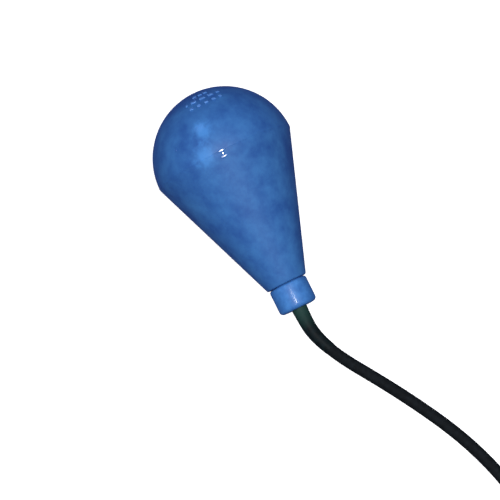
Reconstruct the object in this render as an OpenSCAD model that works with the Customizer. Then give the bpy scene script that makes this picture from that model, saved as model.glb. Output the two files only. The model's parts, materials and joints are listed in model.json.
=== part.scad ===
// Pear-shaped cable float switch, lying on its side with its lead coiled beside it.
// Row frame: +Z up, +X from the ball end towards the cable, origin under the middle of the float.
// Most pieces are drawn on the float's own axis: +Z from the ball to the cable, z = 0 at the weld
// seam, +X towards the ballast. placed() then lays them down.

/* [Float case] */
// Outer radius of the ball end
dome_r = 50; // [49.5:0.5:52]
// Length of the cone from the weld seam to its small end
cone_len = 96; // [95:1:99]
// Outer radius of the cone's small end
cone_end_r = 14.6; // [14.4:0.1:15.2]
// Wall thickness of both shells
wall = 3; // [2.6:0.1:3.2]

/* [Cable gland] */
// Nut size across its flats
nut_af = 27.4; // [27:0.1:28]
// Radius that the nut's eight corners are turned to
nut_r = 14.5; // [14.3:0.1:14.6]
// Length of the nut
nut_len = 18.6; // [18:0.2:19]
// Rounding of the nut's outer rim
nut_round = 1.8; // [1.2:0.1:2.2]

/* [Cable] */
// Outer diameter of the cable
cable_d = 8.5; // [8:0.1:8.6]
// Length of the straight cable tail that a stranger would clamp
tail_len = 44; // [40:1:60]
// Length of bared core beyond the tail
core_len = 16; // [12:1:24]

/* [Pendulum switch] */
// Angle between the float's axis and the pendulum at either stop
half_swing = 15; // [14:0.5:15]
// Distance from the pivot to the centre of the pendulum weight
weight_reach = 24; // [22:1:26]
// Radius of the pendulum weight
weight_r = 11; // [9:0.5:11]

/* [Coil] */
// Radius of the coil's outer turn, at the middle of the cable
coil_r = 64.5; // [60:0.5:66]
// Distance between neighbouring turns
coil_pitch = 8.6; // [8.6:0.1:9]
// Thickness of the ties, which lift the coil off the surface
tie_t = 1.25; // [1:0.05:1.5]

/* [Hidden] */

// Case
seam_cut = 0.4;
cone_slope = (dome_r - cone_end_r) / cone_len;
wall_across = wall * sqrt(1 + cone_slope * cone_slope);
function cone_in(z) = dome_r - cone_slope * z - wall_across;
spigot_r = dome_r - 4;
spigot_in = dome_r - 6.5;
spigot_up = 4.8;
spigot_down = 6;
boss_at = 36;
boss_r = 4;
boss_angles = [60, 180, 300];
web_t = 10;

// Gland
neck_r = 9.9;
crest = 0.6;
nut_bore = 10.6;
seat_r = 8.2;
neck_len = 14;
thread_pitch = 2;
nut_from = cone_len + 0.4;
nut_end = nut_from + nut_len;
neck_end = cone_len + neck_len;
nut_hole_r = 5.75;
nut_turn = 11.5;
cable_r = cable_d / 2;
relief_r = 5.6;
relief_tip_r = 4.95;
relief_bore = 4.5;
seal_len = 9.8;
washer_t = 1.2;
flange_from = cone_len + 0.2 + seal_len + washer_t;

// Lying pose: the float rests on the edge of the weld seam and on the nut's outer rim.
edge_r = dome_r - cone_slope * seam_cut;
corner_half = acos(nut_af / 2 / nut_r);
rim_turn = 22.5 - nut_turn - corner_half;
rim_r = (nut_r - nut_round) * cos(rim_turn);
rise = edge_r - rim_r;
run = nut_end - nut_round - seam_cut;
pitch = atan2(rise, run) - asin(nut_round / norm([rise, run]));
case_z = edge_r * cos(pitch) + seam_cut * sin(pitch);
nut_reach = rim_r * sin(pitch) + (nut_end - nut_round) * cos(pitch) + nut_round;
case_x = (dome_r - nut_reach) / 2;

// Pendulum, on the float's axis
pivot_z = 2;
pin_r = 2;
hub_r = 4.5;
hub_half = 10;
arm_half = 3;
nose_reach = 10;
nose_r = 2;
ear_in = 11;
ear_out = 14;
bumper_at = 9.5;
bumper_r = 2.5;
bumper_len = 3;

// Carrier
deck_from = 6;
deck_t = 3;
deck_r = dome_r - 8;
deck_top = deck_from + deck_t;
window_x = 5.2;
window_y = 10.7;
ballast_cut = 24;
ballast_screw_at = [31, 14];
tongue_x = 8;
tongue_t = 3;
pad_from = 62;
pad_len = 14;

// Switch: case ends along the axis, case faces across it
sw_z = [12, 39.8];
sw_x = [-22.3, -6.4];
sw_y = 5.15;
sw_wall = 1.2;
cover_t = 1;
sw_holes = [[-9.2, 15], [-19.5, 37.2]];
tab_w = 6.3;
tab_t = 0.8;
com_z = 18;
no_z = 31;
nc_x = -9.4;
plunger_z = 31;
lever_x = -5.1;
lever_z = 38;
lever_end = 9.6;
blade_x = -12;
blade_tip = 34;
core_r = 1.2;

// Cable route on the surface, in the row frame. The first point is the middle of the nut's end.
route = [[77.9, 0, 13.3], [82.7, 0, 11.8], [88, 0, 10.1], [93.5, 0.5, 8.3], [98.9, 1.7, 6.8],
  [104.2, 3.4, 5.6], [111, 6, 4.7], [118.5, 9.2, 4.4], [128, 14, 4.3], [140, 20.9, 4.3],
  [156, 29.8, 4.3], [174, 39, 4.3], [194, 48.5, 4.3], [216, 57, 4.3], [243, 64, 4.4],
  [270, 67, 4.7], [300, 66.5, 5.2], [330, 64.5, 5.6]];
relief_rings = 6;
coil_x = 330;
rows = 4;
columns = 4;
run_route = [[358, 48.4, 31.4], [368.5, 42.7, 31.4], [379.4, 35.9, 31.4], [390.3, 26.8, 31.3],
  [399.4, 14.8, 29.5], [404.5, 0, 25.5], [403.3, -18.3, 20.5], [396.7, -35.4, 15.5],
  [385.7, -50.2, 10.5], [371.9, -62.2, 6.5], [353.2, -71.3, 4.5], [338, -74.6, 4.3],
  [325, -75, 4.3], [312, -75, 4.3]];
tail_start = [312, -75, 4.3];
core_ring = 1.4;
ferrule_len = 9;
tie_angles = [150, 255, 345];
tie_w = 10;

// Wire routes inside the case, on the float's axis
brown_route = [[-27.3, 4.6, 18], [-27.3, 8.6, 18], [-27.2, 9.4, 18.2], [-26.5, 11.4, 20.5],
  [-25, 12, 30], [-18, 10, 42], [-8, 5, 54], [-1, 2.8, 58.5], [1.2, 2, 60.5], [1.2, 2, 62]];
black_route = [[-27.3, -4.6, 31], [-27.3, -8.6, 31], [-27.2, -9.4, 31.2], [-25.5, -10.6, 35.5],
  [-18, -10.5, 45], [-8, -5, 55], [-1, -2.8, 58.5], [1.2, -2, 60.5], [1.2, -2, 62]];
blue_route = [[-9.4, 0, 48.4], [-9.4, 0, 52.3], [-9.2, 0, 53], [-6.2, 0, 57.2], [-3, 0, 59.6],
  [-2.3, 0, 60.6], [-2.3, 0, 62]];

case_blue = "#3c6db4";
nut_blue = "#4a84c9";
black = "#24282e";
steel = "#b9bcc0";
brass = "#c9a35a";

// ---- helpers ----
$fn = 64;

// Lays a piece drawn on the float's axis down in the row frame.
module placed() {
  translate([case_x, 0, case_z]) rotate([0, 90 + pitch, 0]) children();
}

// Turns a piece drawn with the pendulum along -Z, its pivot at the origin, by a swing angle.
module swung(angle) {
  translate([0, 0, pivot_z]) rotate([0, angle, 0]) children();
}

module along_y(r, length) {
  rotate([90, 0, 0]) cylinder(r = r, h = length, center = true);
}

module block(from, to) {
  translate(from) cube(to - from);
}

function unit(v) = v / norm(v);
function heading(p, i) = unit(p[min(i + 1, len(p) - 1)] - p[max(i - 1, 0)]);
function across(v, t) = unit(v - (v * t) * t);
function sides_of(p) = [
  for (i = 0, n = across([0.3, 1, 0.2], heading(p, 0)); i < len(p);
       i = i + 1, n = across(n, heading(p, i))) n];
function ring_of(p, i, side, r, n) = [
  for (k = [0 : n - 1]) p[i] + r * (cos(360 * k / n) * side
    + sin(360 * k / n) * cross(heading(p, i), side))];

// A round bar along a route, with one ring at each point.
module swept_bar(p, r, n = 8) {
  side = sides_of(p);
  last = (len(p) - 1) * n;
  skin = [for (i = [0 : len(p) - 2], k = [0 : n - 1])
    let (a = i * n + k, b = i * n + (k + 1) % n) each [[a, a + n, b + n], [a, b + n, b]]];
  polyhedron(
    points = [for (i = [0 : len(p) - 1]) each ring_of(p, i, side[i], r, n)],
    faces = concat([[for (k = [0 : n - 1]) k]], skin, [[for (k = [n - 1 : -1 : 0]) last + k]]));
}

// A tapering sleeve along a route: radii is the outer radius at each point, bore the inner one.
module swept_sleeve(p, radii, bore, n = 12) {
  side = sides_of(p);
  count = len(p);
  inner = count * n;
  outside = [for (i = [0 : count - 2], k = [0 : n - 1])
    let (a = i * n + k, b = i * n + (k + 1) % n) each [[a, a + n, b + n], [a, b + n, b]]];
  inside = [for (f = outside) [inner + f[2], inner + f[1], inner + f[0]]];
  last = (count - 1) * n;
  start_face = [for (k = [0 : n - 1])
    let (j = (k + 1) % n) each [[k, j, inner + j], [k, inner + j, inner + k]]];
  end_face = [for (f = start_face) [last + f[2], last + f[1], last + f[0]]];
  polyhedron(
    points = concat(
      [for (i = [0 : count - 1]) each ring_of(p, i, side[i], radii[i], n)],
      [for (i = [0 : count - 1]) each ring_of(p, i, side[i], bore, n)]),
    faces = concat(outside, inside, start_face, end_face));
}

// ---- case ----
// The moulded ball end: half a hollow ball with a spigot that the cone slides over.
module dome_shell() color(case_blue) placed() difference() {
  union() {
    intersection() {
      sphere(r = dome_r, $fn = 96);
      translate([0, 0, -dome_r]) cylinder(r = dome_r + 1, h = dome_r);
    }
    translate([0, 0, -spigot_down]) cylinder(r = spigot_r, h = spigot_down + spigot_up);
  }
  difference() {
    sphere(r = dome_r - wall, $fn = 96);
    translate([0, 0, -spigot_down]) cylinder(r = dome_r, h = dome_r);
  }
  translate([0, 0, -spigot_down - 1]) cylinder(r = spigot_in, h = 2 * dome_r);
  rotate_extrude() polygon([[dome_r - seam_cut, 0], [dome_r + 1, 0],
    [dome_r + 1, -seam_cut - 1], [dome_r, -seam_cut]]);
}

// The moulded cone, with three bosses for the carrier and the gland's neck on its small end.
module cone_shell() color(case_blue) placed() difference() {
  union() {
    difference() {
      cylinder(r1 = dome_r, r2 = cone_end_r, h = cone_len);
      translate([0, 0, spigot_up + 0.2]) cylinder(r1 = cone_in(spigot_up + 0.2),
        r2 = cone_in(cone_len - web_t), h = cone_len - web_t - spigot_up - 0.2);
      translate([0, 0, -1]) cylinder(r = spigot_r + 0.1, h = spigot_up + 1.2);
    }
    intersection() {
      for (a = boss_angles) rotate([0, 0, a])
        translate([boss_at, 0, deck_top]) cylinder(r = boss_r, h = 21);
      cylinder(r1 = dome_r - 1, r2 = cone_end_r - 1, h = cone_len);
    }
    translate([0, 0, cone_len - 1]) cylinder(r = neck_r, h = neck_len + 1);
    for (z = [nut_from + 1 : thread_pitch : neck_end - 1.5]) translate([0, 0, z])
      rotate_extrude() polygon([[neck_r - 0.2, -0.6], [neck_r + crest, -0.1],
        [neck_r + crest, 0.1], [neck_r - 0.2, 0.6]]);
  }
  translate([0, 0, -0.01]) rotate_extrude() polygon([[dome_r - seam_cut, 0],
    [dome_r + 1, 0], [dome_r + 1, seam_cut + 1], [dome_r - cone_slope, seam_cut + 0.01]]);
  for (a = boss_angles) rotate([0, 0, a])
    translate([boss_at, 0, deck_top - 1]) cylinder(r = 1.5, h = 13);
  translate([0, 0, cone_len]) cylinder(r = seat_r, h = neck_len + 1);
  translate([0, 0, cone_len - web_t - 1]) cylinder(r = cable_r + 0.35, h = web_t + 2);
}

// ---- gland ----
module gland_nut() color(nut_blue) placed() difference() {
  intersection() {
    translate([0, 0, nut_from]) rotate([0, 0, nut_turn])
      cylinder(r = nut_af / 2 / cos(22.5), h = nut_len, $fn = 8);
    rotate_extrude() polygon(concat([[0, nut_from], [nut_r - 1, nut_from],
      [nut_r, nut_from + 1]],
      [for (a = [0 : 15 : 90]) [nut_r - nut_round + nut_round * cos(a),
        nut_end - nut_round + nut_round * sin(a)]], [[0, nut_end]]));
  }
  difference() {
    translate([0, 0, nut_from - 1]) cylinder(r = nut_bore, h = neck_end - nut_from + 1);
    for (z = [nut_from + 2 : thread_pitch : neck_end - 0.5]) translate([0, 0, z])
      rotate_extrude() polygon([[nut_bore + 0.2, -0.6], [nut_bore - crest, -0.1],
        [nut_bore - crest, 0.1], [nut_bore + 0.2, 0.6]]);
  }
  cylinder(r = nut_hole_r, h = nut_end + 1);
}

module gland_seal() color("#2e3134") placed() translate([0, 0, cone_len + 0.2]) difference() {
  cylinder(r = seat_r - 0.05, h = seal_len);
  translate([0, 0, -1]) cylinder(r = cable_r, h = seal_len + 2);
}

module gland_washer() color(steel) placed() translate([0, 0, flange_from - washer_t])
  difference() {
    cylinder(r = seat_r - 0.1, h = washer_t);
    translate([0, 0, -1]) cylinder(r = cable_r + 0.35, h = washer_t + 2);
  }

// The rubber bend relief: a flange held by the nut, then a curved tapering sleeve.
module bend_relief() color(black) {
  placed() translate([0, 0, flange_from]) difference() {
    union() {
      cylinder(r = seat_r - 0.2, h = neck_end - flange_from);
      cylinder(r = relief_r, h = nut_end - flange_from);
    }
    translate([0, 0, -1]) cylinder(r = relief_bore, h = nut_end - flange_from + 2);
  }
  radii = [for (i = [0 : relief_rings - 1])
    relief_r + (relief_tip_r - relief_r) * i / (relief_rings - 1)];
  swept_sleeve([for (i = [0 : relief_rings - 1]) route[i]], radii, relief_bore);
}

// ---- carrier and ballast ----
// One moulded frame: round deck, ears for the pivot, stop posts, switch wall and clamp tongue.
module carrier() color("#d9d8d2") placed() difference() {
  union() {
    translate([0, 0, deck_from]) cylinder(r = deck_r, h = deck_t);
    for (s = [-1, 1]) {
      block([-5, s > 0 ? ear_in : -ear_out, pivot_z - hub_r],
        [5, s > 0 ? ear_out : -ear_in, deck_from + 1]);
      stop_post(s);
    }
    block([-23, -sw_y - 3, deck_from], [-7, -sw_y, 42]);
    block([tongue_x, -9, deck_from], [tongue_x + tongue_t, 9, pad_from + 1]);
    block([tongue_x, -11, pad_from], [tongue_x + tongue_t, 11, pad_from + pad_len]);
    block([cable_r + 0.05, -11, pad_from], [tongue_x + 1, 11, pad_from + pad_len]);
  }
  block([-window_x, -window_y, deck_from - 1], [window_x, window_y, deck_top + 1]);
  translate([0, 0, pivot_z]) along_y(pin_r, 40);
  for (a = boss_angles) rotate([0, 0, a])
    translate([boss_at, 0, deck_from - 1]) cylinder(r = 1.6, h = deck_t + 2);
  for (s = [-1, 1]) {
    translate([ballast_screw_at[0], s * ballast_screw_at[1], deck_from - 1])
      cylinder(r = 1.6, h = deck_t + 2);
    translate([0, s * 8.6, pad_from + 6]) rotate([0, 90, 0]) cylinder(r = 1.4, h = 20);
  }
  for (h = sw_holes) translate([h[0], -sw_y - 1.5, h[1]]) along_y(1.4, 5);
}

// A post that carries one rubber bumper, square to the pendulum where it stops.
module stop_post(side) intersection() {
  swung(-side * half_swing) mirror([side > 0 ? 0 : 1, 0, 0])
    block([arm_half + bumper_len + 0.05, -5, -13], [arm_half + bumper_len + 3.5, 5, 9]);
  translate([0, 0, deck_top - 60]) cylinder(r = deck_r, h = 60);
}

module carrier_screws() color(steel) placed() for (a = boss_angles) rotate([0, 0, a])
  translate([boss_at, 0, deck_from]) {
    cylinder(r = 1.5, h = 14);
    screw_head(3, 2.1);
  }

// A round head below z = 0 with a cross recess.
module screw_head(r, h) difference() {
  translate([0, 0, -h]) cylinder(r = r, h = h);
  for (a = [0, 90]) rotate([0, 0, a])
    translate([-0.6 * r, -0.35, -h - 1]) cube([1.2 * r, 0.7, 1 + 0.45 * h]);
}

module ballast_weight() color("#5a5d60") placed() difference() {
  intersection() {
    sphere(r = dome_r - 6.8, $fn = 96);
    block([ballast_cut, -dome_r, -36], [dome_r, dome_r, deck_from]);
  }
  for (s = [-1, 1]) translate([ballast_screw_at[0], s * ballast_screw_at[1], -8])
    cylinder(r = 1.5, h = 20);
}

module ballast_screws() color(steel) placed() for (s = [-1, 1])
  translate([ballast_screw_at[0], s * ballast_screw_at[1], deck_top]) mirror([0, 0, 1]) {
    cylinder(r = 1.5, h = 15);
    screw_head(3, 2.1);
  }

module stop_bumpers() color("#33363a") placed() for (s = [-1, 1])
  swung(-s * half_swing) translate([s * (arm_half + 0.02), 0, -bumper_at])
    rotate([0, s * 90, 0]) cylinder(r = bumper_r, h = bumper_len);

// ---- pendulum ----
module pivot_pin() color(steel) placed() translate([0, 0, pivot_z]) along_y(pin_r, 32.4);

module pivot_clips() color(steel) placed() for (s = [-1, 1])
  translate([0, s * (ear_out + 0.5), pivot_z]) difference() {
    along_y(4, 0.7);
    along_y(pin_r, 2);
  }

// The hub turns on the pin; one end carries the weight, the other works the switch lever.
module pendulum_arm() color("#c7c3b4") placed() swung(-half_swing) difference() {
  union() {
    along_y(hub_r, 2 * hub_half);
    block([-arm_half, -4, -weight_reach - 4], [arm_half, 4, 0]);
    block([-1.2, -3, 0], [1.2, 3, nose_reach]);
    translate([0, 0, nose_reach]) along_y(nose_r, 6);
  }
  along_y(pin_r + 0.05, 40);
  translate([0, 0, -weight_reach]) along_y(2, 20);
}

module pendulum_weight() color("#8d9196") placed() swung(-half_swing) difference() {
  translate([0, 0, -weight_reach]) along_y(weight_r, 20);
  block([-arm_half - 0.05, -4.05, -weight_reach - 4.05], [arm_half + 0.05, 4.05, 0]);
  translate([0, 0, -weight_reach]) along_y(2, 30);
}

module weight_rivet() color(brass) placed() swung(-half_swing)
  translate([0, 0, -weight_reach]) {
    along_y(2, 20);
    for (s = [-1, 1]) translate([0, s * 10.5, 0]) along_y(3.5, 1);
  }

// ---- switch ----
module switch_case() color("#2b2d31") placed() difference() {
  union() {
    difference() {
      block([sw_x[0], -sw_y, sw_z[0]], [sw_x[1], sw_y - cover_t, sw_z[1]]);
      block([sw_x[0] + sw_wall, -sw_y + sw_wall, sw_z[0] + sw_wall],
        [sw_x[1] - sw_wall, sw_y, sw_z[1] - sw_wall]);
    }
    for (h = sw_holes) translate([h[0], -cover_t / 2, h[1]])
      along_y(2.7, 2 * sw_y - cover_t);
    for (s = [-1, 1]) block([sw_x[1] - 1, s > 0 ? 3 : -4.1, 36.8],
      [lever_x + 1, s > 0 ? 4.1 : -3, 39.2]);
  }
  for (h = sw_holes) translate([h[0], 0, h[1]]) along_y(1.55, 20);
  translate([-8.5, 0, plunger_z]) rotate([0, 90, 0]) cylinder(r = 1.3, h = 4);
  translate([lever_x, 0, lever_z]) along_y(0.6, 20);
  for (z = [com_z, no_z]) block([sw_x[0] - 1, -tab_w / 2, z - tab_t / 2],
    [sw_x[0] + 2, tab_w / 2, z + tab_t / 2]);
  block([nc_x - tab_t / 2, -tab_w / 2, sw_z[1] - 2], [nc_x + tab_t / 2, tab_w / 2, sw_z[1] + 1]);
}

module switch_cover() color("#3a3d42") placed() difference() {
  block([sw_x[0], sw_y - cover_t, sw_z[0]], [sw_x[1], sw_y, sw_z[1]]);
  for (h = sw_holes) translate([h[0], 0, h[1]]) along_y(1.55, 20);
}

module switch_screws() color(steel) placed() for (h = sw_holes)
  translate([h[0], sw_y, h[1]]) rotate([90, 0, 0]) {
    cylinder(r = 1.4, h = 2 * sw_y + 3);
    screw_head(2.4, 1.8);
  }

module lever_pin() color(steel) placed() translate([lever_x, 0, lever_z]) along_y(0.6, 8.6);

module switch_lever() color(steel) placed() difference() {
  union() {
    block([lever_x - 0.25, -2.1, lever_end], [lever_x + 0.35, 2.1, lever_z]);
    translate([lever_x, 0, lever_z]) along_y(1.15, 5.6);
  }
  translate([lever_x, 0, lever_z]) along_y(0.65, 20);
}

module switch_plunger() color("#b23a32") placed() translate([-11.7, 0, plunger_z])
  rotate([0, 90, 0]) {
    cylinder(r = 1.2, h = 5.6);
    translate([0, 0, 5.6]) intersection() {
      translate([0, 0, -0.8]) sphere(r = 1.5);
      cylinder(r = 1.2, h = 1);
    }
  }

module contact_blade() color("#c98a4b") placed() union() {
  block([blade_x - 0.15, -2, com_z], [blade_x + 0.15, 2, blade_tip + 1]);
  translate([blade_x, 0, com_z]) along_y(0.5, 4);
  translate([blade_x - 0.95, 0, blade_tip]) rotate([0, 90, 0]) cylinder(r = 1, h = 1.9);
}

module common_terminal() color(brass) placed()
  block([-29, -tab_w / 2, com_z - tab_t / 2], [blade_x - 0.6, tab_w / 2, com_z + tab_t / 2]);

module no_terminal() color(brass) placed() {
  block([-29, -tab_w / 2, no_z - tab_t / 2], [-13.6, tab_w / 2, no_z + tab_t / 2]);
  block([-14.4, -2, no_z - tab_t / 2], [-13.6, 2, blade_tip + 1.5]);
  translate([-13.8, 0, blade_tip]) rotate([0, 90, 0]) cylinder(r = 1, h = 0.6);
}

module nc_terminal() color(brass) placed()
  block([nc_x - tab_t / 2, -tab_w / 2, 33], [nc_x + tab_t / 2, tab_w / 2, 47]);

// A push-on receptacle: a flat sleeve over the tab and a crimped barrel for the wire.
module receptacle(barrel_turn) {
  difference() {
    block([-1.3, -3.9, 0.5], [1.3, 3.9, 7.8]);
    block([-tab_t / 2, -tab_w / 2, -1], [tab_t / 2, tab_w / 2, 7.25]);
  }
  translate([0, 0, 5]) rotate([barrel_turn, 0, 0]) difference() {
    translate([0, 0, barrel_turn == 0 ? 2.8 : 3.9]) cylinder(r = 1.75, h = 4.5);
    cylinder(r = core_r + 0.02, h = 12);
  }
}

module receptacles() color("#c8ccd0") placed() {
  translate([sw_x[0], 0, com_z]) rotate([0, -90, 0]) receptacle(-90);
  translate([sw_x[0], 0, no_z]) rotate([0, -90, 0]) receptacle(90);
  translate([nc_x, 0, sw_z[1]]) receptacle(0);
}

module lead_brown() color("#6a3d22") placed() swept_bar(brown_route, core_r);
module lead_black() color(black) placed() swept_bar(black_route, core_r);
module lead_blue() color("#2f62b8") placed() swept_bar(blue_route, core_r);

// The saddle that holds the cable against the carrier's tongue.
module cord_clamp() color("#d9d8d2") placed() difference() {
  translate([0, 0, pad_from + 2]) {
    cylinder(r = 6.3, h = 8);
    block([1.6, -11, 0], [cable_r - 0.1, 11, 8]);
  }
  translate([0, 0, pad_from]) cylinder(r = cable_r + 0.02, h = 12);
  block([cable_r - 0.1, -12, pad_from], [12, 12, pad_from + 12]);
  for (s = [-1, 1]) translate([0, s * 8.6, pad_from + 6]) rotate([0, 90, 0])
    cylinder(r = 1.5, h = 20);
}

module clamp_screws() color(steel) placed() for (s = [-1, 1])
  translate([1.6, s * 8.6, pad_from + 6]) rotate([0, 90, 0]) {
    cylinder(r = 1.4, h = 9);
    screw_head(2.1, 1.7);
  }

// ---- cable ----
module cable_inner_end() color(black) placed()
  translate([0, 0, pad_from]) cylinder(r = cable_r, h = nut_end - pad_from);

module cable_lead() color(black) swept_bar(route, cable_r, 12);

// Section through one side of the coil, from its inner radius at x = 0 outwards.
module coil_section(grow, inner_gap) {
  low = tie_t + 0.05;
  high = low + (rows - 1) * coil_pitch + cable_d;
  outer = coil_r + cable_r;
  inner = coil_r - (columns - 1) * coil_pitch - cable_r;
  cut = cable_r * 0.6;
  turn = 0.41 * grow;
  polygon([[inner - grow - inner_gap, low + cut - turn], [inner + cut - turn, low - grow],
    [outer - cut + turn, low - grow], [outer + grow, low + cut - turn],
    [outer + grow, high - coil_pitch - cut + turn],
    [outer - coil_pitch - cut + turn, high + grow], [inner + cut - turn, high + grow],
    [inner - grow - inner_gap, high - cut + turn]]);
}

module cable_coil() color(black) translate([coil_x, 0, 0])
  rotate_extrude($fn = 96) coil_section(0, 0);

module cable_run() color(black) swept_bar(run_route, cable_r, 12);

module cable_tail() color(black) translate(tail_start) rotate([0, -90, 0])
  cylinder(r = cable_r, h = tail_len);

module coil_ties() color("#3a3f45") translate([coil_x, 0, 0]) for (a = tie_angles)
  rotate([0, 0, a]) rotate([90, 0, 0]) translate([0, 0, -tie_w / 2])
    linear_extrude(tie_w) difference() {
      coil_section(tie_t, 0.4);
      coil_section(0.02, 0.4);
    }

module tail_core(turn) translate(tail_start) rotate([0, -90, 0]) rotate([0, 0, turn])
  translate([core_ring, 0, tail_len]) cylinder(r = core_r, h = core_len);
module tail_core_brown() color("#6a3d22") tail_core(0);
module tail_core_black() color(black) tail_core(120);
module tail_core_blue() color("#2f62b8") tail_core(240);

module tail_ferrules() color(steel) translate(tail_start) rotate([0, -90, 0])
  for (a = [0, 120, 240]) rotate([0, 0, a])
    translate([core_ring, 0, tail_len + core_len]) {
      cylinder(r = core_r, h = 2);
      cylinder(r = 0.8, h = ferrule_len);
    }

dome_shell();
cone_shell();
gland_nut();
gland_seal();
gland_washer();
bend_relief();
carrier();
carrier_screws();
ballast_weight();
ballast_screws();
stop_bumpers();
pivot_pin();
pivot_clips();
pendulum_arm();
pendulum_weight();
weight_rivet();
switch_case();
switch_cover();
switch_screws();
lever_pin();
switch_lever();
switch_plunger();
contact_blade();
common_terminal();
no_terminal();
nc_terminal();
receptacles();
lead_brown();
lead_black();
lead_blue();
cord_clamp();
clamp_screws();
cable_inner_end();
cable_lead();
cable_coil();
cable_run();
cable_tail();
coil_ties();
tail_core_brown();
tail_core_black();
tail_core_blue();
tail_ferrules();
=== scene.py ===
# %% [markdown]
# # A cable float switch
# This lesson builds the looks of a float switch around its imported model: a ball-and-cone float
# moulded in blue polypropylene, an eight-sided gland nut, a tapered rubber bend relief and five
# metres of black rubber cable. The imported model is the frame. It fixes every place and size, so
# each new piece is made where the frame says, and nothing is moved to fit afterwards.

# %% Load the frame
import json
import math

import bmesh
import bpy
from mathutils import Matrix, Vector


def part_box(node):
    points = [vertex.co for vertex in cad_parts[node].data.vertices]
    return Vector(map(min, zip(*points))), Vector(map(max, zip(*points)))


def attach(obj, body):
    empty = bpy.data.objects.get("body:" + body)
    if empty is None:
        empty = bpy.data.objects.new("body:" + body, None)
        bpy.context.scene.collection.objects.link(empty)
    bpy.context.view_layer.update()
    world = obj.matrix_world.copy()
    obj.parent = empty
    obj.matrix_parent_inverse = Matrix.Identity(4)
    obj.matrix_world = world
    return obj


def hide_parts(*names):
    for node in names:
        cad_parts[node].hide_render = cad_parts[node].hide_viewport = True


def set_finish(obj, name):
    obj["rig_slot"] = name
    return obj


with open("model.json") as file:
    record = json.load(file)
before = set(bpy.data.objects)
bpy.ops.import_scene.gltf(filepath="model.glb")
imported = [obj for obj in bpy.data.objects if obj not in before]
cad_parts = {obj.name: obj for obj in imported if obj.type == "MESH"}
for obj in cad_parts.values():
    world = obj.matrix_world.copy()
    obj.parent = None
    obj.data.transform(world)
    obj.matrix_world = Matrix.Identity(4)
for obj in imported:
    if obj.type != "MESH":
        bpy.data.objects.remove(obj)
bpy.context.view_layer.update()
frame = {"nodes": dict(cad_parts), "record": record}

# %% [markdown]
# ## The float's own axis
# The float lies on its side, so its axis is tilted. Turned parts are far easier to draw upright,
# so they are drawn with +Z from the ball to the cable and z = 0 at the weld seam, and one matrix
# lays them down at the end. The matrix comes from the frame: the switch plunger slides square to
# the float's axis, and the pendulum's pivot sits on that axis, 2 mm up the ball side of the seam.

# %% Find the axis and the driving sizes
MM = 0.001
joint = {j["name"]: j for j in frame["record"]["behaviour"]["joints"]}
across = Vector(joint["plunger_travel"]["axis"]).normalized()
side = Vector((0, 1, 0))
along = across.cross(side)
PIVOT_Z = 2 * MM
seam_centre = Vector(joint["pendulum_swing"]["pos_m"]) - PIVOT_Z * along
LAY_DOWN = Matrix.Translation(seam_centre) @ Matrix((across, side, along)).transposed().to_4x4()


def size_along(node, direction):
    """How far a CAD node reaches from the seam's centre along a direction, least and most."""
    mesh = frame["nodes"][node].data
    reach = [(v.co - seam_centre).dot(direction) for v in mesh.vertices]
    return min(reach), max(reach)


BALL_R = -size_along("dome_shell", along)[0]
NECK_END = size_along("cone_shell", along)[1]
NUT_FROM, NUT_END = size_along("gland_nut", along)
CABLE_R = (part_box("cable_tail")[1][1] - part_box("cable_tail")[0][1]) / 2
print(f"ball radius {BALL_R / MM:.2f} mm, neck ends at {NECK_END / MM:.2f} mm")
print(f"nut from {NUT_FROM / MM:.2f} to {NUT_END / MM:.2f} mm, cable radius {CABLE_R / MM:.2f} mm")

# %% [markdown]
# ## The camera
# The float is seen from high up and a little from the cable's side, from more than a metre away,
# through a long lens, so its outline is nearly free of perspective. The camera comes first,
# because the cable's unseen length has to be put away outside its view.

# %% Place the camera
AZIMUTH, ELEVATION = math.radians(62.3), math.radians(66)
TARGET = Vector((27.25, -11.51, 22.06)) * MM
DISTANCE = 1.3
LENS_MM, SENSOR_MM = 135.6, 36

back = Vector((math.sin(AZIMUTH) * math.cos(ELEVATION), -math.cos(AZIMUTH) * math.cos(ELEVATION),
    math.sin(ELEVATION)))
lens = bpy.data.cameras.new("camera")
lens.lens, lens.sensor_width = LENS_MM, SENSOR_MM
camera = bpy.data.objects.new("camera", lens)
camera.location = TARGET + DISTANCE * back
camera.rotation_mode = "QUATERNION"
camera.rotation_quaternion = (-back).to_track_quat("-Z", "Y")
bpy.context.collection.objects.link(camera)
bpy.context.scene.camera = camera
bpy.context.view_layer.update()
right = camera.rotation_quaternion @ Vector((1, 0, 0))
up = camera.rotation_quaternion @ Vector((0, 1, 0))
print("camera at", [round(x, 3) for x in camera.location])

# %% [markdown]
# ## Two helpers for every piece
# A bmesh is a scratch mesh: operators shape it, and it is written to a real mesh once. `finish`
# does that the same way for every piece: merged doubles, normals outwards, smooth shading with the
# true corners kept sharp, and the frame told what the piece rides on, stands for and is made of.

# %% Helpers that turn a bmesh into a finished piece
pieces = {}


def settle(piece, body, slot, stands_for):
    """Tells the frame what a piece rides on, is made of and stands for."""
    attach(piece, body)
    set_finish(piece, slot)
    if stands_for:
        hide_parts(*stands_for)
    pieces[piece.name] = piece


def finish(bm, name, slot, stands_for=(), body="case", place=LAY_DOWN, corner=35):
    """Writes a bmesh to a piece, shaded smooth apart from edges sharper than corner degrees."""
    bmesh.ops.remove_doubles(bm, verts=bm.verts, dist=0.002 * MM)
    bmesh.ops.recalc_face_normals(bm, faces=bm.faces)
    bmesh.ops.transform(bm, matrix=place, verts=bm.verts)
    mesh = bpy.data.meshes.new(name)
    bm.to_mesh(mesh)
    open_edges = sum(not e.is_manifold for e in bm.edges)
    bm.free()
    mesh.shade_smooth()
    mesh.set_sharp_from_angle(angle=math.radians(corner))
    piece = bpy.data.objects.new(name, mesh)
    bpy.context.collection.objects.link(piece)
    settle(piece, body, slot, stands_for)
    print(f"{name}: {len(mesh.polygons)} faces, {open_edges} open edges")
    return piece


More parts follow.
